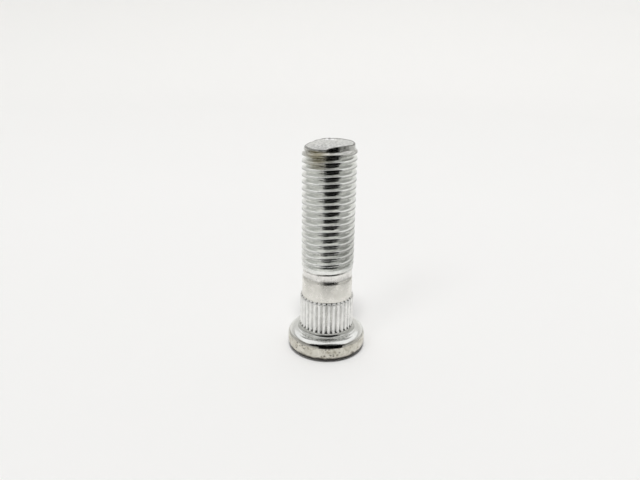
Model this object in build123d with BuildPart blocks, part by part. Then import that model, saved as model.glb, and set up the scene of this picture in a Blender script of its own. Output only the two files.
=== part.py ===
"""Wheel stud: one cold-forged piece with a round head, a serrated band, a plain shank and a threaded end.

It stands on its head. The origin is the centre of the head's flat end, and +Z runs up to the point.
"""
from build123d import *
import math
import os

# Head, with its flat end down and its bearing seat facing up
head_diameter = 18.0
head_thickness = 5.1
head_lower_round = 2.0
head_upper_round = 1.75
seat_fillet = 0.8

# Serrated band that is pressed into the hub, from the seat to the top of its lead-in
knurl_diameter = 12.35
knurl_length = 8.4
knurl_lead = 0.35
knurl_teeth = 34
knurl_depth = 0.4
knurl_land = 0.42
knurl_foot_taper = 0.15
knurl_first_groove = 4.2  # degrees round from +X

# Plain shank, and the slimmer neck that the thread runs out on
shank_diameter = 11.5
shank_length = 4.5
shoulder_length = 0.4
neck_diameter = 11.2
neck_length = 1.2

# Threaded length, a plain cylinder of the crest diameter of an M12 x 1.5 thread
thread_diameter = 11.85
thread_length = 28.4
run_out_length = 1.0
lead_length = 1.0

# Rounded point: the blank was sheared a little off square, so the crown's centre stands beside the axis
point_diameter = 10.8
point_land = 0.6
crown_rise = 1.2
crown_radius = 12.5
crown_shift = 0.9

# Heights up the axis: the teeth taper in to the fillet at their feet, and the grooves end on that taper
seat_height = head_thickness
groove_bottom = seat_height + 1.25 * seat_fillet
land_bottom = seat_height + 1.4 * seat_fillet
knurl_top = seat_height + knurl_length
shank_top = knurl_top + shank_length
neck_bottom = shank_top + shoulder_length
thread_bottom = neck_bottom + neck_length
point_rim = thread_bottom + thread_length
lead_top = point_rim - point_land
overall_length = point_rim + crown_rise

# Radii
head_radius = head_diameter / 2
knurl_radius = knurl_diameter / 2
knurl_foot_radius = knurl_radius - knurl_foot_taper
shank_radius = shank_diameter / 2
neck_radius = neck_diameter / 2
thread_radius = thread_diameter / 2
point_radius = point_diameter / 2

# What the crown leaves off the end of the blank
with BuildPart() as end_trim:
    with Locations((0, 0, lead_top - lead_length)):
        Cylinder(
            thread_radius,
            overall_length - lead_top + 2 * lead_length,
            align=(Align.CENTER, Align.CENTER, Align.MIN),
        )
    with Locations((crown_shift, 0, overall_length - crown_radius)):
        Sphere(crown_radius, rotation=(90, 0, 0), mode=Mode.SUBTRACT)

with BuildPart() as wheel_stud:
    # Forged blank, from the flat end of the head to the square end of the point
    with BuildSketch(Plane.YZ):
        with BuildLine():
            Polyline(
                (0, 0),
                (head_radius, 0),
                (head_radius, seat_height),
                (knurl_foot_radius, seat_height),
                (knurl_radius, land_bottom),
                (knurl_radius, knurl_top - knurl_lead),
                (shank_radius, knurl_top),
                (shank_radius, shank_top),
                (neck_radius, neck_bottom),
                (neck_radius, thread_bottom),
                (thread_radius, thread_bottom + run_out_length),
                (thread_radius, lead_top - lead_length),
                (point_radius, lead_top),
                (point_radius, overall_length),
                (0, overall_length),
                close=True,
            )
        make_face()
    revolve(axis=Axis.Z)

    # Rounded edges of the head, and the fillet where the serrated band meets the seat
    seat_rims = edges().filter_by(GeomType.CIRCLE).filter_by_position(Axis.Z, seat_height, seat_height)
    fillet(seat_rims.sort_by(SortBy.RADIUS)[-1], radius=min(head_upper_round, 0.45 * head_thickness))
    fillet(edges().group_by(Axis.Z)[0], radius=min(head_lower_round, 0.45 * head_thickness))
    seat_rims = edges().filter_by(GeomType.CIRCLE).filter_by_position(Axis.Z, seat_height, seat_height)
    fillet(seat_rims.sort_by(SortBy.RADIUS)[0], radius=seat_fillet)

    # Rolled serrations: V grooves that leave a land on the tip of every tooth
    groove_half_width = (math.pi * knurl_diameter / knurl_teeth - knurl_land) / 2
    with BuildSketch(Plane.XY.offset(groove_bottom)):
        with PolarLocations(knurl_radius, knurl_teeth, start_angle=knurl_first_groove):
            Polygon(
                (-knurl_depth, 0),
                (knurl_depth, -2 * groove_half_width),
                (knurl_depth, 2 * groove_half_width),
                align=None,
            )
    extrude(amount=knurl_top - groove_bottom, mode=Mode.SUBTRACT)

    # Crowned end
    add(end_trim.part, mode=Mode.SUBTRACT)

wheel_stud.part.label = "wheel_stud"
os.makedirs("parts", exist_ok=True)
export_step(wheel_stud.part, "parts/wheel_stud.step")
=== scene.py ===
import bmesh
import bpy
import math
from mathutils import Matrix, Vector, noise


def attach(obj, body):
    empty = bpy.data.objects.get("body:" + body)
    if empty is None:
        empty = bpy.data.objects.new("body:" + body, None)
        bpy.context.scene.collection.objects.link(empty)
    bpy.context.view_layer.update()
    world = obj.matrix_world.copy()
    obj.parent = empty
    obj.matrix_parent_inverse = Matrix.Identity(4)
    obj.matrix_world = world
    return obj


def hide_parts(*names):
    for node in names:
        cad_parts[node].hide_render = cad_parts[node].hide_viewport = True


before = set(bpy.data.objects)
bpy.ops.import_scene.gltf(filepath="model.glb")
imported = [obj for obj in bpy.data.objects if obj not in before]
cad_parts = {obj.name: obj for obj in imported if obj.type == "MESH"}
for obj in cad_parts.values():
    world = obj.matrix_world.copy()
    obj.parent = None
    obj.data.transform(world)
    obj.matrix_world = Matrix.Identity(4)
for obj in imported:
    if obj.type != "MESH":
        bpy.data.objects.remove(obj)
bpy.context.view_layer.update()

# Sizes of the stud in millimetres, with heights measured from the flat end of its head
MILLIMETRE = 0.001

HEAD_RADIUS = 9.0
HEAD_THICKNESS = 5.1
HEAD_LOWER_ROUND = 2.0
HEAD_UPPER_ROUND = 1.75
SEAT_FILLET = 0.8

KNURL_RADIUS = 6.175
KNURL_FOOT = 6.05
KNURL_TOP = 13.5
KNURL_LEAD = 0.35
KNURL_TEETH = 34
KNURL_DEPTH = 0.40
FIRST_GROOVE = math.radians(4.2)

SHANK_RADIUS = 5.75
SHANK_TOP = 18.0
SHOULDER_ROUND = 0.25
NECK_RADIUS = 5.6
NECK_BOTTOM = 18.4

CREST_RADIUS = 5.925
PITCH = 1.5
THREAD_BOTTOM = 19.6
POINT_LOW = 46.4
POINT_TOP = 47.35
POINT_RADIUS = 5.4
CROWN_TOP = 48.78

# Columns of faces round the stud: twelve to a tooth of the serrated band, a third as many on the thread
BAND_COLUMNS = 12 * KNURL_TEETH
THREAD_COLUMNS = BAND_COLUMNS // 3

# Distances at which vertices are merged, and margins for a cut and for a comparison of sizes
MERGE = 0.002
SEAM_MERGE = 0.003
CUT_MARGIN = 0.001
SIZE_MARGIN = 0.01

# Grooves of the serrated band: depth, and half width as a share of a tooth, each with its spread by chance
GROOVE_DEPTH = (KNURL_DEPTH, 0.04)
GROOVE_SHARE = (0.33, 0.03)
GROOVE_RUN_OUT = 0.42
GROOVE_CLOSING = KNURL_TOP + 0.02
GROOVE_END = KNURL_TOP + 0.1

# Small pit at the upper end of each groove
PIT_SHARE = 0.2
PIT_DEPTH = 0.07
PIT_BOTTOM = KNURL_TOP - 0.5
PIT_FULL = KNURL_TOP - 0.15

# Painted shade in the grooves' ends: size, with its spread by chance
FOOT_SHADE_SHARE = (0.34, 0.2)
FOOT_SHADE_HEIGHT = (0.62, 0.5)
TOP_SHADE_SHARE = (0.08, 0.3)
TOP_SHADE_BOTTOM = KNURL_TOP - 0.4

# Where in the pattern of chance the grooves' shapes and the painted shade in their ends are found
SHAPE_CHANCE = 7.3
SHAPE_DRIFT = 0.3
SHADE_CHANCE = 2.7

# Rows of vertices on the band: above its foot, under its lead-in, inwards and up on that, and above its top
FOOT_ROWS = (0.0, 0.08, 0.17, 0.28, GROOVE_RUN_OUT)
UNDER_LEAD = 0.25
LEAD_ROWS = ((0.0, 0.0), (0.04, 0.07), (0.13, 0.14), (0.25, 0.21), (0.36, 0.28))
END_ROWS = (0.0, 0.07, 0.16)

# Section of the rolled thread: the crest's upper edge is rounded and its lower edge is sharp
CREST_FLAT = 0.22
CREST_UPPER_ROUND = 0.40
ROOT_ROUND = 0.05
FLANK_TILT = math.radians(60.0)
SHARP_EDGE = math.radians(52.0)

# Rows of vertices from root to root, in columns' steps of the helix from the middle of the crest
THREAD_ROWS = (-56, -52, -38, -24, -10, 0, 10, 16, 22, 28, 34, 41, 52, 63, 76, 80)

# Height of a crest on the column that the first groove lies on, and the turns wound below it and in all
CREST_HEIGHT = 45.20 + PITCH * FIRST_GROOVE / math.tau
TURNS_BELOW = 19
TURNS = 22

# Run-out above the neck: the crests rise in a low step and then a slope, and the roots fill up raggedly
STEP_RISE = 0.2
STEP_TOP = 0.6
RUN_OUT_TOP = 2.0
ROOT_FILL = 0.7
ROOT_FILL_RANGE = (-0.2, 3.0)
WAVER_TOP = 1.0

# Start of the thread: the bevel follows the rim up by a share, and the grooves are shallower there
BEVEL_SHARE = 0.6
BEVEL_RIM = 47.45
START_SHALLOWER = 0.35

# Unevenness: its size, and how close its pattern is
RUN_OUT_RAGGED = ((0.4, 0.4), (0.12, 1.7))
THREAD_WAVER = (0.006, 2.1)
CROWN_WAVER = (0.03, 0.8)

# The sheared end stands higher on one side: degrees round from +X, and height of the rim
RIM_HEIGHTS = (
    (0, 48.26),
    (35, 48.36),
    (70, 48.40),
    (100, 48.34),
    (120, 48.10),
    (140, 47.70),
    (165, 47.48),
    (200, 47.50),
    (240, 47.42),
    (257, 47.52),
    (272, 47.95),
    (285, 48.20),
    (310, 48.32),
    (340, 48.27),
    (360, 48.26),
)

# Crowned end: rings of vertices as shares of its radius, a dome, a lip along its rim, and the rim's rounding
CROWN_RINGS = (0.994, 0.978, 0.93, 0.85, 0.75, *(0.65 - 0.05 * ring for ring in range(9)), 0.15, 0.08)
DOME_POWER = 2.4
LIP_HEIGHT = 0.12
LIP_RANGE = (0.93, 0.975)
RIM_BREAK = 0.07
RIM_ROUND = 0.04
RIM_ROUND_RANGE = (0.98, 1.0)

# Nib left by the shear, a short ridge on the crowned end
NIB = Vector((0.0, 1.3))
NIB_HEIGHT = 0.42
NIB_REACH = 0.75
NIB_STRETCH = 2.2

# Where the finishes meet: heights and radii, and how far a steep face may look up
HEAD_SIDE_TOP = HEAD_THICKNESS - 0.8 * HEAD_UPPER_ROUND
HEAD_EDGE_RADIUS = HEAD_RADIUS - 0.35
SEAT_TOP = HEAD_THICKNESS + 0.06
TOOTH_LAND_RADIUS = KNURL_RADIUS - 0.06
SATIN_BOTTOM = KNURL_TOP - 0.1
BAND_TOP = KNURL_TOP + 0.05
NECK_TOP = THREAD_BOTTOM + 0.7
THREAD_START = POINT_LOW - 0.3
POINT_LAND_RADIUS = 0.998 * POINT_RADIUS
RIM_INSIDE = 0.94 * POINT_RADIUS
STEEP = 0.7


def smooth(low, high, value):
    """An even rise from 0 to 1 between two values."""
    share = min(max((value - low) / (high - low), 0.0), 1.0)
    return share * share * (3 - 2 * share)


def by_chance(size_and_spread, own):
    """A size that differs by chance, where own is what chance gives, from -1 to 1."""
    size, spread = size_and_spread
    return size + spread * own


def waver(size_and_scale, place):
    """A small smooth unevenness."""
    size, scale = size_and_scale
    return size * noise.noise(place * scale)


def rim_height(place):
    """Height of the sheared end's rim, on the side of the stud where a place lies."""
    angle = math.degrees(math.atan2(place.y, place.x) + FIRST_GROOVE) % 360
    for (start, low), (end, high) in zip(RIM_HEIGHTS, RIM_HEIGHTS[1:]):
        if angle <= end:
            return low + (high - low) * smooth(start, end, angle)


def from_nib(place):
    """How far a place lies from the nib's ridge."""
    away = place.xy - NIB
    return math.hypot(away.x / NIB_STRETCH, away.y)


def nearest_groove(place):
    """Number of the nearest groove, and how far its middle is, as a share of a tooth."""
    turns = math.atan2(place.y, place.x) * KNURL_TEETH / math.tau
    return round(turns), abs((turns + 0.5) % 1.0 - 0.5)


def chain(bm, points):
    """A row of vertices joined by edges, in the plane of the first column."""
    verts = [bm.verts.new((radius, 0, height)) for radius, height in points]
    for pair in zip(verts, verts[1:]):
        bm.edges.new(pair)
    return verts


def only(geometry, wanted):
    """The vertices or the edges among what an operator gives back."""
    return [part for part in geometry if isinstance(part, wanted)]


def whole(bm):
    """Everything that a mesh has so far."""
    return bm.verts[:] + bm.edges[:] + bm.faces[:]


def round_corner(bm, corner, size, segments):
    """Rounds one corner of an outline."""
    bmesh.ops.bevel(bm, geom=[corner], offset=size, offset_type="OFFSET", segments=segments, profile=0.5,
                    affect="VERTICES", material=-1)


def turn_round(bm, columns, merge):
    """Turns an outline once round the axis."""
    bmesh.ops.spin(bm, geom=bm.verts[:] + bm.edges[:], cent=(0, 0, 0), axis=(0, 0, 1), angle=math.tau,
                   steps=columns, use_merge=True)
    bmesh.ops.remove_doubles(bm, verts=bm.verts[:], dist=merge)


def head_and_shank(bm):
    """The head, serrated band, shank and neck, turned from one outline with its corners rounded."""
    lead_low = KNURL_TOP - KNURL_LEAD
    head = [(0, 0), (HEAD_RADIUS, 0), (HEAD_RADIUS, HEAD_THICKNESS), (KNURL_RADIUS, HEAD_THICKNESS)]
    band = [(KNURL_RADIUS, KNURL_FOOT + row) for row in FOOT_ROWS]
    band += [(KNURL_RADIUS, 0.5 * (KNURL_FOOT + lead_low)), (KNURL_RADIUS, lead_low - UNDER_LEAD)]
    band += [(KNURL_RADIUS - inwards, lead_low + rise) for inwards, rise in LEAD_ROWS]
    shank = [(SHANK_RADIUS, KNURL_TOP + row) for row in END_ROWS] + [(SHANK_RADIUS, SHANK_TOP)]
    neck = [(NECK_RADIUS, NECK_BOTTOM), (NECK_RADIUS, THREAD_BOTTOM)]
    verts = chain(bm, head + band + shank + neck)
    round_corner(bm, verts[1], HEAD_LOWER_ROUND, segments=9)
    round_corner(bm, verts[2], HEAD_UPPER_ROUND, segments=12)
    round_corner(bm, verts[3], SEAT_FILLET, segments=9)
    round_corner(bm, verts[-3], SHOULDER_ROUND, segments=4)
    round_corner(bm, verts[-2], SHOULDER_ROUND, segments=4)
    turn_round(bm, BAND_COLUMNS, MERGE)


def cut_serrations(bm):
    """Draws in the grooves between the teeth and leaves a land on every tooth; each groove ends in a pit."""
    for vert in bm.verts:
        radius = vert.co.xy.length
        height = vert.co.z
        beside = height <= KNURL_FOOT - SIZE_MARGIN or height >= GROOVE_END
        if beside or radius > KNURL_RADIUS + SIZE_MARGIN:
            continue
        number, share = nearest_groove(vert.co)
        own = noise.noise((number, SHAPE_CHANCE, SHAPE_DRIFT * height))
        depth = by_chance(GROOVE_DEPTH, own) * max(0.0, 1 - share / by_chance(GROOVE_SHARE, own))
        depth *= smooth(KNURL_FOOT, KNURL_FOOT + GROOVE_RUN_OUT, height)
        pit = smooth(PIT_BOTTOM, PIT_FULL, height) * max(0.0, 1 - share / PIT_SHARE)
        groove = KNURL_RADIUS - depth - PIT_DEPTH * pit
        groove += smooth(GROOVE_CLOSING, GROOVE_END, height)
        if groove < radius:
            vert.co.xy *= groove / radius


def thread_drop(height):
    """How deep the thread's section lies below the crest, at a height above or below the crest's middle."""
    across = math.sin(FLANK_TILT)
    fall = 1 - math.cos(FLANK_TILT)
    slope = math.tan(FLANK_TILT)
    rounds = CREST_UPPER_ROUND + 2 * ROOT_ROUND
    depth = 0.5 * ((PITCH - CREST_FLAT - rounds * across) * slope + rounds * fall)
    crest = CREST_UPPER_ROUND if height > 0 else 0.0
    away = max(0.0, abs(height) - 0.5 * CREST_FLAT)
    reach = (crest + ROOT_ROUND) * across + (depth - (crest + ROOT_ROUND) * fall) / slope
    if away < crest * across:
        return crest - math.sqrt(crest ** 2 - away ** 2)
    if away < reach - ROOT_ROUND * across:
        return crest * fall + (away - crest * across) * slope
    return depth - ROOT_ROUND + math.sqrt(ROOT_ROUND ** 2 - min(reach - away, ROOT_ROUND) ** 2)


def wind_turns(bm, start, step):
    """One turn of the thread from its section, and the others stacked on it."""
    rows = [row * step for row in THREAD_ROWS]
    chain(bm, [(CREST_RADIUS - thread_drop(row), start + row) for row in rows])
    bmesh.ops.spin(bm, geom=bm.verts[:] + bm.edges[:], cent=(0, 0, 0), axis=(0, 0, 1), dvec=(0, 0, step),
                   angle=math.tau, steps=THREAD_COLUMNS)
    one_turn = whole(bm)
    for turn in range(1, TURNS):
        copy = bmesh.ops.duplicate(bm, geom=one_turn)["geom"]
        bmesh.ops.translate(bm, vec=(0, 0, turn * PITCH), verts=only(copy, bmesh.types.BMVert))
    bmesh.ops.remove_doubles(bm, verts=bm.verts[:], dist=MERGE)


def wind_thread(bm):
    """The thread, cut off square at both ends, shaped, and fitted to the neck; gives back its upper ring."""
    step = PITCH / THREAD_COLUMNS
    start = CREST_HEIGHT - TURNS_BELOW * PITCH
    wind_turns(bm, start, step)
    low = start + step * round((THREAD_BOTTOM - start) / step)
    high = start + step * round((POINT_TOP - start) / step)
    bmesh.ops.bisect_plane(bm, geom=whole(bm), dist=CUT_MARGIN, plane_co=(0, 0, low), plane_no=(0, 0, 1),
                           clear_inner=True)
    bmesh.ops.bisect_plane(bm, geom=whole(bm), dist=CUT_MARGIN, plane_co=(0, 0, high), plane_no=(0, 0, 1),
                           clear_outer=True)
    shape_thread(bm)

    # The lower ring gets as many columns as the neck that it joins
    rings = [edge for edge in bm.edges if edge.is_boundary]
    lower = [edge for edge in rings if edge.verts[0].co.z < 0.5 * (low + high)]
    upper = [edge for edge in rings if edge.verts[0].co.z > 0.5 * (low + high)]
    bmesh.ops.subdivide_edges(bm, edges=lower, cuts=BAND_COLUMNS // THREAD_COLUMNS - 1)
    for vert in bm.verts:
        if vert.co.z < low + CUT_MARGIN:
            vert.co.xy *= NECK_RADIUS / vert.co.xy.length
            vert.co.z = THREAD_BOTTOM
    return upper


def shape_thread(bm):
    """The thread's grooves thin out raggedly down to the neck, and start shallow on the bevelled point."""
    for vert in bm.verts:
        radius = vert.co.xy.length
        height = vert.co.z
        above = height - THREAD_BOTTOM
        crest = NECK_RADIUS + STEP_RISE * min(max(above, 0.0) / STEP_TOP, 1.0)
        crest += (CREST_RADIUS - NECK_RADIUS - STEP_RISE) * smooth(STEP_TOP, RUN_OUT_TOP, above)
        low = POINT_LOW + BEVEL_SHARE * (rim_height(vert.co) - BEVEL_RIM)
        crest -= (CREST_RADIUS - POINT_RADIUS) * max(0.0, height - low) / (POINT_TOP - low)
        ragged = above + sum(waver(size_and_scale, vert.co) for size_and_scale in RUN_OUT_RAGGED)
        filled = ROOT_FILL * (1 - smooth(*ROOT_FILL_RANGE, ragged))
        drop = max(0.0, CREST_RADIUS - radius - filled)
        drop *= 1 - START_SHALLOWER * smooth(POINT_LOW, POINT_TOP, height)
        target = min(crest, CREST_RADIUS - drop) if above > RUN_OUT_TOP else crest - drop
        target += waver(THREAD_WAVER, vert.co) * smooth(0.0, WAVER_TOP, above)
        vert.co.xy *= min(target, CREST_RADIUS) / radius


def close_point(bm, rim):
    """The land above the bevel and the crowned end, drawn up and in from the top of the thread."""
    drawn = bmesh.ops.extrude_edge_only(bm, edges=rim)["geom"]
    rim = only(drawn, bmesh.types.BMEdge)
    for vert in only(drawn, bmesh.types.BMVert):
        vert.co.xy *= POINT_RADIUS / vert.co.xy.length
        vert.co.z = rim_height(vert.co) - RIM_BREAK
    for share in CROWN_RINGS:
        drawn = bmesh.ops.extrude_edge_only(bm, edges=rim)["geom"]
        rim = only(drawn, bmesh.types.BMEdge)
        for vert in only(drawn, bmesh.types.BMVert):
            vert.co.xy *= POINT_RADIUS * share / vert.co.xy.length
            vert.co.z = CROWN_TOP + (rim_height(vert.co) - CROWN_TOP) * share ** DOME_POWER
            vert.co.z -= RIM_ROUND * smooth(*RIM_ROUND_RANGE, share)
            vert.co.z += LIP_HEIGHT * smooth(*LIP_RANGE, share)
            vert.co.z += waver(CROWN_WAVER, vert.co)
            vert.co.z += NIB_HEIGHT * (1 - smooth(0.0, NIB_REACH, from_nib(vert.co)))
    middle = {vert for edge in rim for vert in edge.verts}
    bmesh.ops.pointmerge(bm, verts=list(middle), merge_co=(0, 0, CROWN_TOP))


def node(tree, node_type, sockets=None, **settings):
    """A shader node with its settings, and with each given socket set or linked."""
    made = tree.nodes.new(node_type)
    for name, value in settings.items():
        setattr(made, name, value)
    for name, value in (sockets or {}).items():
        if isinstance(value, bpy.types.NodeSocket):
            tree.links.new(value, made.inputs[name])
        else:
            made.inputs[name].default_value = value
    return made


def blend(tree, share, first, second):
    """Mixes two colours, each either a constant or the output of a node."""
    ends = [end if isinstance(end, bpy.types.NodeSocket) else (*end, 1) for end in (first, second)]
    return node(tree, "ShaderNodeMix", {0: share, 6: ends[0], 7: ends[1]}, data_type="RGBA").outputs[2]


def remap(tree, value, low=0.0, high=1.0, at_low=0.0, at_high=1.0, **settings):
    """Carries a value over from one range to another."""
    sockets = {"Value": value, "From Min": low, "From Max": high, "To Min": at_low, "To Max": at_high}
    return node(tree, "ShaderNodeMapRange", sockets, **settings).outputs["Result"]


def object_place(tree):
    """The place on the object that is being coloured, in metres."""
    return node(tree, "ShaderNodeTexCoord").outputs["Object"]


def along_axis(tree, place, axis):
    """One of a place's three coordinates."""
    return node(tree, "ShaderNodeSeparateXYZ", {0: place}).outputs[axis]


def group(name, inputs, outputs):
    """A node group that has only its sockets so far: its tree, its inputs' node and its outputs' node."""
    tree = bpy.data.node_groups.new(name, "ShaderNodeTree")
    for label, socket_type, value in inputs:
        socket = tree.interface.new_socket(label, in_out="INPUT", socket_type=socket_type)
        if value is not None:
            socket.default_value = value
    for label in outputs:
        tree.interface.new_socket(label, in_out="OUTPUT", socket_type="NodeSocketFloat")
    return tree, tree.nodes.new("NodeGroupInput"), tree.nodes.new("NodeGroupOutput")


def plating_group():
    """Grain and clouding of the zinc plate: a height for the bump and a slow mask for tone and gloss."""
    tree, given, made = group(
        "zinc_plate",
        (
            ("Vector", "NodeSocketVector", None),
            ("Grain", "NodeSocketFloat", 4000.0),
            ("Cloud", "NodeSocketFloat", 500.0),
        ),
        ("Height", "Cloud"),
    )
    place = given.outputs["Vector"]
    grain = node(tree, "ShaderNodeTexNoise", {
        "Vector": place, "Scale": given.outputs["Grain"], "Detail": 3.0, "Roughness": 0.55})
    cloud = node(tree, "ShaderNodeTexNoise", {
        "Vector": place, "Scale": given.outputs["Cloud"], "Detail": 4.0, "Roughness": 0.6})
    tree.links.new(grain.outputs[0], made.inputs["Height"])
    tree.links.new(remap(tree, cloud.outputs[0], low=0.35, high=0.65), made.inputs["Cloud"])
    return tree


def speck_group():
    """Small dark pits in drifts, and a slow mottle between them."""
    tree, given, made = group(
        "plate_pits",
        (
            ("Vector", "NodeSocketVector", None),
            ("Scale", "NodeSocketFloat", 900.0),
            ("Size", "NodeSocketFloat", 0.16),
        ),
        ("Mask", "Mottle"),
    )
    place = given.outputs["Vector"]
    cells = node(tree, "ShaderNodeTexVoronoi", {"Vector": place, "Scale": given.outputs["Scale"]})
    drift = node(tree, "ShaderNodeTexNoise", {"Vector": place, "Scale": 420.0})
    mottle = node(tree, "ShaderNodeTexNoise", {
        "Vector": place, "Scale": 1100.0, "Detail": 5.0, "Roughness": 0.65})
    near = remap(tree, cells.outputs["Distance"], high=given.outputs["Size"], at_low=1.0, at_high=0.0)
    some = remap(tree, drift.outputs[0], low=0.46, high=0.54)
    both = node(tree, "ShaderNodeMath", {0: near, 1: some}, operation="MULTIPLY")
    tree.links.new(both.outputs[0], made.inputs["Mask"])
    tree.links.new(remap(tree, mottle.outputs[0], low=0.5, high=0.72), made.inputs["Mottle"])
    return tree


PLATE = plating_group()
PITS = speck_group()

# Height of the plate's grain in metres
GRAIN_HEIGHT = 0.00005

# Dirt in the pits; dirt and painted contact shade under the head, and how far the clouding shifts that edge
# in metres
DIRT_AND_SHADE = (0.025, 0.021, 0.016)
DIRT_AND_SHADE_ROUGHNESS = 0.9
DIRT_AND_SHADE_RAGGED = -0.0004

# Stains and a painted reflection on the thread: tint, centre and reach in metres; a brown stain at its
# start, and a grey patch of painted reflection low down on one side
STAINS_AND_PAINTED_REFLECTION = (
    ((0.30, 0.27, 0.17), (-0.0028, -0.0050, 0.0464), 0.0044),
    ((0.60, 0.61, 0.585), (0.0065, -0.0030, 0.0250), 0.0085),
)
PATCH_STRENGTH = 0.8
PATCH_CORE = 0.3
PATCH_RAGGED = 0.0012


def add_tint_patch(tree, colour, place, clouding, tint, centre, reach):
    """A tinted patch with a ragged edge, strongest near its centre: a stain, or the grey patch of painted
    reflection.
    """
    away = node(tree, "ShaderNodeVectorMath", {0: place, 1: centre}, operation="DISTANCE")
    ragged = node(tree, "ShaderNodeMath", {0: clouding, 1: PATCH_RAGGED, 2: away.outputs["Value"]},
                  operation="MULTIPLY_ADD")
    mask = remap(tree, ragged.outputs[0], PATCH_CORE * reach, reach, at_low=PATCH_STRENGTH, at_high=0.0)
    return blend(tree, mask, colour, tint)


def add_specks(tree, colour, place, scale, size, mottle):
    """Dark pits, and a mottle of another tint round them."""
    spots = node(tree, "ShaderNodeGroup", node_tree=PITS)
    tree.links.new(place, spots.inputs["Vector"])
    spots.inputs["Scale"].default_value = scale
    spots.inputs["Size"].default_value = size
    colour = blend(tree, spots.outputs["Mottle"], colour, mottle)
    return blend(tree, spots.outputs["Mask"], colour, DIRT_AND_SHADE)


def clean_unshaded_mask(tree, place, clouding, low, high):
    """Where the plate is clean and unshaded: dirt and painted contact shade lie below a ragged line between
    two heights.
    """
    uneven = node(tree, "ShaderNodeMath", {0: clouding, 1: DIRT_AND_SHADE_RAGGED, 2: along_axis(tree, place, "Z")},
                  operation="MULTIPLY_ADD")
    return remap(tree, uneven.outputs[0], low, high)


def zinc(name, tone, shade, gloss, grain, bump, cloud=500.0, drawn=1.0,
         pits=None, stains_and_reflections=(), grime_and_shade=None, worn=None):
    """Bright zinc plate on steel.

    With the clouding its colour drifts from shade to tone, and its roughness between the two of gloss.
    Grain and cloud are the scales of its patterns, and drawn squeezes them along the axis.
    Pits are their scale, their size and the mottle's tint, and below and between the two heights of
    grime_and_shade lie dirt and painted contact shade.
    Worn is two heights, and how much rougher the plate is at the lower one.
    """
    material = bpy.data.materials.new(name)
    material.use_nodes = True
    tree = material.node_tree
    tree.nodes.clear()
    place = object_place(tree)
    squeezed = node(tree, "ShaderNodeVectorMath", {0: place, 1: (1.0, 1.0, drawn)}, operation="MULTIPLY")
    plate = node(tree, "ShaderNodeGroup", node_tree=PLATE)
    tree.links.new(squeezed.outputs[0], plate.inputs["Vector"])
    plate.inputs["Grain"].default_value = grain
    plate.inputs["Cloud"].default_value = cloud
    clouding = plate.outputs["Cloud"]

    colour = blend(tree, clouding, shade, tone)
    for tint, centre, reach in stains_and_reflections:
        colour = add_tint_patch(tree, colour, place, clouding, tint, centre, reach)
    if pits:
        colour = add_specks(tree, colour, place, *pits)

    glossiest, dullest = gloss
    rough = remap(tree, clouding, at_low=dullest, at_high=glossiest)
    if worn:
        low, high, rougher = worn
        more = remap(tree, along_axis(tree, place, "Z"), low, high, at_low=rougher, at_high=0.0)
        rough = node(tree, "ShaderNodeMath", {0: rough, 1: more}).outputs[0]

    metallic = 1.0
    # Dark matt dirt and painted contact shade low on the head
    if grime_and_shade:
        metallic = clean_unshaded_mask(tree, place, clouding, *grime_and_shade)
        colour = blend(tree, metallic, DIRT_AND_SHADE, colour)
        rough = node(tree, "ShaderNodeMix", {0: metallic, 2: DIRT_AND_SHADE_ROUGHNESS, 3: rough}).outputs[0]

    relief = node(tree, "ShaderNodeBump", {
        "Height": plate.outputs["Height"], "Strength": bump, "Distance": GRAIN_HEIGHT})
    metal = node(tree, "ShaderNodeBsdfPrincipled", {
        "Base Color": colour, "Metallic": metallic, "Roughness": rough, "Normal": relief.outputs[0]})
    out = node(tree, "ShaderNodeOutputMaterial")
    tree.links.new(metal.outputs[0], out.inputs["Surface"])
    return material


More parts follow.
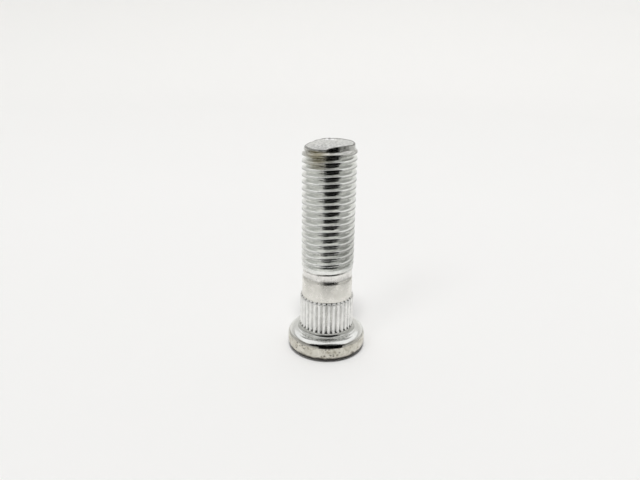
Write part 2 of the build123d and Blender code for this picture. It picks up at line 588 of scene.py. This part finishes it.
FINISHES = (
    # The head's side: dirt and painted contact shade along its lower edge, where it meets the floor
    zinc("head_side", tone=(0.74, 0.72, 0.65), shade=(0.60, 0.58, 0.51), gloss=(0.26, 0.38),
         grain=3000.0, bump=0.3, pits=(1300.0, 0.42, (0.30, 0.27, 0.20)), grime_and_shade=(0.0009, 0.0014)),
    zinc("seat_bright", tone=(0.86, 0.865, 0.84), shade=(0.78, 0.785, 0.76), gloss=(0.13, 0.2),
         grain=4000.0, bump=0.05),
    zinc("fillet_dull", tone=(0.60, 0.605, 0.58), shade=(0.45, 0.455, 0.43), gloss=(0.18, 0.28),
         grain=4000.0, bump=0.1, cloud=900.0),
    zinc("tooth_lands", tone=(0.97, 0.97, 0.95), shade=(0.88, 0.88, 0.86), gloss=(0.32, 0.44),
         grain=4000.0, bump=0.1, cloud=900.0),
    zinc("tooth_grooves", tone=(0.76, 0.76, 0.74), shade=(0.64, 0.64, 0.62), gloss=(0.22, 0.34),
         grain=4000.0, bump=0.15, cloud=900.0),
    # Painted shade: a near-black finish at the grooves' ends, where shade falls
    zinc("groove_end_painted_shade", tone=(0.16, 0.16, 0.15), shade=(0.08, 0.08, 0.075), gloss=(0.3, 0.4),
         grain=4000.0, bump=0.1, cloud=900.0),
    zinc("shank_satin", tone=(0.88, 0.865, 0.815), shade=(0.79, 0.775, 0.72), gloss=(0.24, 0.34),
         grain=3500.0, bump=0.2),
    # The thread carries a brown stain and a grey patch of painted reflection low on one side
    zinc("thread_bright", tone=(0.93, 0.94, 0.915), shade=(0.82, 0.83, 0.805), gloss=(0.16, 0.24),
         grain=2600.0, bump=0.32, cloud=350.0, drawn=2.0, stains_and_reflections=STAINS_AND_PAINTED_REFLECTION, worn=(0.020, 0.034, 0.05)),
    zinc("point_land", tone=(0.66, 0.665, 0.64), shade=(0.36, 0.36, 0.34), gloss=(0.16, 0.3),
         grain=3500.0, bump=0.4, cloud=2600.0),
    # Painted reflection: a dark ring along the crowned end's rim
    zinc("rim_painted_reflection", tone=(0.44, 0.44, 0.42), shade=(0.20, 0.20, 0.185), gloss=(0.25, 0.35),
         grain=3500.0, bump=0.3, cloud=1500.0),
    zinc("end_matt", tone=(0.99, 0.99, 0.97), shade=(0.58, 0.585, 0.56), gloss=(0.28, 0.44),
         grain=3500.0, bump=0.5, cloud=2200.0),
    zinc("neck_bright", tone=(0.90, 0.89, 0.86), shade=(0.74, 0.73, 0.70), gloss=(0.2, 0.3),
         grain=3500.0, bump=0.2, cloud=900.0),
    # Painted highlight: an evenly bright patch on the nib
    zinc("nib_painted_highlight", tone=(0.99, 0.99, 0.98), shade=(0.96, 0.96, 0.95), gloss=(0.1, 0.2),
         grain=3500.0, bump=0.1),
    zinc("thread_start", tone=(0.74, 0.74, 0.71), shade=(0.42, 0.42, 0.395), gloss=(0.16, 0.28),
         grain=2600.0, bump=0.4, cloud=700.0, drawn=6.0, stains_and_reflections=STAINS_AND_PAINTED_REFLECTION),
    zinc("head_edge", tone=(0.62, 0.61, 0.57), shade=(0.46, 0.45, 0.41), gloss=(0.09, 0.14),
         grain=4000.0, bump=0.05, cloud=900.0),
)
FINISH_NUMBERS = {finish.name: number for number, finish in enumerate(FINISHES)}


def band_finish(middle):
    """Finish on the serrated band, where the grooves' ends get painted shade, some more than others."""
    number, share = nearest_groove(middle)
    own = noise.noise((number, SHADE_CHANCE, 0))
    rise = (middle.z - KNURL_FOOT) / by_chance(FOOT_SHADE_HEIGHT, own)
    if share < by_chance(FOOT_SHADE_SHARE, own) * (1 - rise):
        return "groove_end_painted_shade"
    if share < by_chance(TOP_SHADE_SHARE, own) and middle.z > TOP_SHADE_BOTTOM:
        return "groove_end_painted_shade"
    if middle.z > SATIN_BOTTOM:
        return "shank_satin"
    return "tooth_lands" if middle.xy.length > TOOTH_LAND_RADIUS else "tooth_grooves"


def point_finish(middle, facing):
    """Finish on the land above the bevel and on the crowned end, with a painted dark reflection along the
    rim and a painted highlight on the nib.
    """
    if facing.z < STEEP and middle.xy.length > POINT_LAND_RADIUS:
        return "point_land"
    if middle.xy.length > RIM_INSIDE:
        return "rim_painted_reflection"
    return "nib_painted_highlight" if from_nib(middle) < NIB_REACH else "end_matt"


def finish_of(face):
    """Which finish a face has, from its place on the stud."""
    middle = face.calc_center_median()
    if middle.z < HEAD_SIDE_TOP:
        return "head_side"
    if middle.z < KNURL_FOOT and middle.xy.length > HEAD_EDGE_RADIUS:
        return "head_edge"
    if middle.z < KNURL_FOOT:
        return "seat_bright" if middle.z < SEAT_TOP else "fillet_dull"
    if middle.z < BAND_TOP:
        return band_finish(middle)
    if middle.z < NECK_TOP:
        return "shank_satin" if middle.z < NECK_BOTTOM else "neck_bright"
    if middle.z < POINT_TOP:
        return "thread_bright" if middle.z < THREAD_START else "thread_start"
    return point_finish(middle, face.normal)


def build_stud():
    """The whole stud as one closed mesh, shaped in millimetres and then scaled to metres."""
    bm = bmesh.new()
    head_and_shank(bm)
    cut_serrations(bm)
    lower_part = bpy.data.meshes.new("lower_part")
    bm.to_mesh(lower_part)
    bm.free()

    bm = bmesh.new()
    close_point(bm, wind_thread(bm))
    bm.from_mesh(lower_part)
    bpy.data.meshes.remove(lower_part)
    bmesh.ops.remove_doubles(bm, verts=bm.verts[:], dist=SEAM_MERGE)
    bmesh.ops.recalc_face_normals(bm, faces=bm.faces[:])
    for face in bm.faces:
        face.smooth = True
        face.material_index = FINISH_NUMBERS[finish_of(face)]
    for edge in bm.edges:
        edge.smooth = edge.verts[0].co.z < THREAD_BOTTOM or edge.calc_face_angle(0.0) < SHARP_EDGE
    bmesh.ops.rotate(bm, cent=(0, 0, 0), matrix=Matrix.Rotation(FIRST_GROOVE, 3, "Z"), verts=bm.verts[:])
    bmesh.ops.scale(bm, vec=(MILLIMETRE, MILLIMETRE, MILLIMETRE), verts=bm.verts[:])

    mesh = bpy.data.meshes.new("stud")
    bm.to_mesh(mesh)
    bm.free()
    for finish in FINISHES:
        mesh.materials.append(finish)
    stud = bpy.data.objects.new("stud", mesh)
    bpy.context.scene.collection.objects.link(stud)
    return stud


# Sizes and places in the studio are in metres
BOWL_RADIUS = 1.4
BOWL_HEIGHT = 0.9
BOWL_ROUND = 0.8
BOWL_COLUMNS = 64
BOWL_MERGE = 0.00001
FLOOR_WHITE = (0.93, 0.925, 0.915)
WALL_WHITE = (0.79, 0.785, 0.77)
FLOOR_END = 0.15
WALL_START = 1.2

# Cards round the stud: how far in front, how high above the floor, and their tones
FRONT_CARD = -0.16
FLOOR_CARD_END = -0.045
FLOOR_CARD_LIFT = 0.0004
SIDE_CARD_LIFT = 0.0003
UPPER_CARD_HEIGHT = 0.62
CARD_BLACK = (0.004, 0.004, 0.004)
FRONT_TOP_GREY = (0.3, 0.3, 0.295)
UPPER_GREY = (0.35, 0.35, 0.345)
RIGHT_GREY = (0.40, 0.40, 0.39)
LEFT_GREY = (0.53, 0.53, 0.52)

# How bright the room is, and how much of that reaches matt surfaces
ROOM_LEVEL = 0.98
ROOM_FILL = 0.28

# Camera: its sensor and lens are in millimetres
CAMERA_PLACE = (-0.001789, -0.113357, 0.067035)
CAMERA_TILT = math.radians(70.315)
CAMERA_ROLL = math.radians(0.831)
CAMERA_NEAREST = 0.005
SENSOR_WIDTH = 36.0
LENS = 30.096


def plain(name, colour, roughness):
    """A matt material of one colour."""
    material = bpy.data.materials.new(name)
    material.use_nodes = True
    shader = material.node_tree.nodes["Principled BSDF"]
    shader.inputs["Base Color"].default_value = (*colour, 1)
    shader.inputs["Roughness"].default_value = roughness
    shader.inputs["Specular IOR Level"].default_value = 0.0
    return material


def recolour(material, share, first, second):
    """Lets a plain material's colour drift from one tone to another."""
    tree = material.node_tree
    tree.links.new(blend(tree, share, first, second), tree.nodes["Principled BSDF"].inputs["Base Color"])


def stage_mesh(name, bm, material):
    """A thing of the studio, which is no piece of the stud."""
    mesh = bpy.data.meshes.new(name)
    bm.to_mesh(mesh)
    bm.free()
    for face in mesh.polygons:
        face.use_smooth = True
    mesh.materials.append(material)
    thing = bpy.data.objects.new(name, mesh)
    bpy.context.scene.collection.objects.link(thing)
    return thing


def white_bowl():
    """A pale floor that curves up into a low wall all round, which is a little darker."""
    bm = bmesh.new()
    verts = chain(bm, ((0, 0), (BOWL_RADIUS, 0), (BOWL_RADIUS, BOWL_HEIGHT)))
    round_corner(bm, verts[1], BOWL_ROUND, segments=16)
    turn_round(bm, BOWL_COLUMNS, BOWL_MERGE)
    bmesh.ops.recalc_face_normals(bm, faces=bm.faces[:])
    material = plain("floor_white", FLOOR_WHITE, roughness=0.9)
    tree = material.node_tree
    away = node(tree, "ShaderNodeVectorMath", {0: object_place(tree)}, operation="LENGTH")
    share = remap(tree, away.outputs["Value"], FLOOR_END, WALL_START)
    recolour(material, share, FLOOR_WHITE, WALL_WHITE)
    stage_mesh("floor", bm, material)


def lying(height, outline):
    """Corners of a card that lies flat."""
    return [(x, y, height) for x, y in outline]


def standing(depth, outline):
    """Corners of a card that stands upright."""
    return [(x, depth, z) for x, z in outline]


def oblong(left, right, near, far):
    """Outline of an oblong card."""
    return (left, near), (right, near), (right, far), (left, far)


def card(name, corners, tone=CARD_BLACK, fade=None):
    """A card that only the stud's reflections show.

    Fade is the axis that its tone changes along, where that starts and ends, and the tone at the end.
    """
    bm = bmesh.new()
    bm.faces.new([bm.verts.new(corner) for corner in corners])
    material = plain(name, tone, roughness=1.0)
    if fade:
        axis, start, end, end_tone = fade
        tree = material.node_tree
        place = along_axis(tree, object_place(tree), axis)
        share = remap(tree, place, start, end, interpolation_type="SMOOTHSTEP")
        recolour(material, share, tone, end_tone)
    thing = stage_mesh(name, bm, material)
    thing.visible_camera = False
    thing.visible_diffuse = False
    thing.visible_transmission = False
    thing.visible_shadow = False


def reflected_cards():
    """Dark cards in front of the stud for the black lines in its plate, and grey ones beside and above."""
    card(
        "card_floor",
        lying(FLOOR_CARD_LIFT, (
            (-0.06, FRONT_CARD),
            (0.165, FRONT_CARD),
            (0.047, FLOOR_CARD_END),
            (-0.036, FLOOR_CARD_END),
        )),
        fade=("Y", -0.057, FLOOR_CARD_END, FLOOR_WHITE),
    )
    card(
        "card_front",
        standing(FRONT_CARD, (
            (-0.06, 0.0),
            (0.165, 0.0),
            (0.17, 0.09),
            (0.25, 0.10),
            (0.25, 0.2),
            (0.165, 0.30),
            (0.10, 0.52),
            (-0.01, 0.50),
            (-0.05, 0.30),
            (-0.2, 0.24),
            (-0.2, 0.08),
            (-0.065, 0.07),
        )),
        fade=("Z", 0.14, 0.5, FRONT_TOP_GREY),
    )
    card(
        "card_above",
        lying(UPPER_CARD_HEIGHT, oblong(left=-0.35, right=0.35, near=0.21, far=0.5)),
        tone=UPPER_GREY,
    )
    card(
        "card_right",
        lying(SIDE_CARD_LIFT, oblong(left=0.034, right=0.4, near=-0.4, far=0.3)),
        tone=FLOOR_WHITE,
        fade=("X", 0.036, 0.052, RIGHT_GREY),
    )
    card(
        "card_left",
        lying(SIDE_CARD_LIFT, oblong(left=-0.4, right=-0.034, near=-0.4, far=0.3)),
        tone=LEFT_GREY,
        fade=("X", -0.052, -0.036, FLOOR_WHITE),
    )


def soft_sun(name, place, power, width):
    """A soft light from one side; the stud mirrors the room and the cards, and not this lamp."""
    lamp = bpy.data.lights.new(name, "SUN")
    lamp.energy = power
    lamp.angle = width
    thing = bpy.data.objects.new(name, lamp)
    thing.location = place
    thing.rotation_euler = (-Vector(place)).to_track_quat("-Z", "Y").to_euler()
    thing.visible_glossy = False
    bpy.context.scene.collection.objects.link(thing)


def white_room():
    """An even white world that lights matt surfaces less than reflections show it."""
    world = bpy.data.worlds.new("studio")
    world.use_nodes = True
    tree = world.node_tree
    sky = tree.nodes["Background"]
    sky.inputs["Color"].default_value = (1.0, 1.0, 1.0, 1)
    rays = node(tree, "ShaderNodeLightPath")
    level = remap(tree, rays.outputs["Is Diffuse Ray"], at_low=ROOM_LEVEL, at_high=ROOM_FILL)
    tree.links.new(level, sky.inputs["Strength"])
    bpy.context.scene.world = world


def place_camera():
    """The camera, in front of the stud and looking a little down on it."""
    camera = bpy.data.cameras.new("camera")
    camera.sensor_width = SENSOR_WIDTH
    camera.lens = LENS
    camera.clip_start = CAMERA_NEAREST
    viewpoint = bpy.data.objects.new("camera", camera)
    viewpoint.matrix_world = (
        Matrix.Translation(CAMERA_PLACE)
        @ Matrix.Rotation(CAMERA_TILT, 4, "X")
        @ Matrix.Rotation(CAMERA_ROLL, 4, "Z"))
    bpy.context.scene.collection.objects.link(viewpoint)
    bpy.context.scene.camera = viewpoint


stud = build_stud()
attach(stud, "root")
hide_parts("wheel_stud")

white_bowl()
reflected_cards()
soft_sun("softbox", place=(-0.01, -0.2, 0.45), power=1.93, width=math.radians(14.0))
soft_sun("side_light", place=(-0.35, -0.45, 0.49), power=0.28, width=math.radians(18.0))
white_room()
place_camera()
bpy.context.scene.view_settings.view_transform = "Standard"
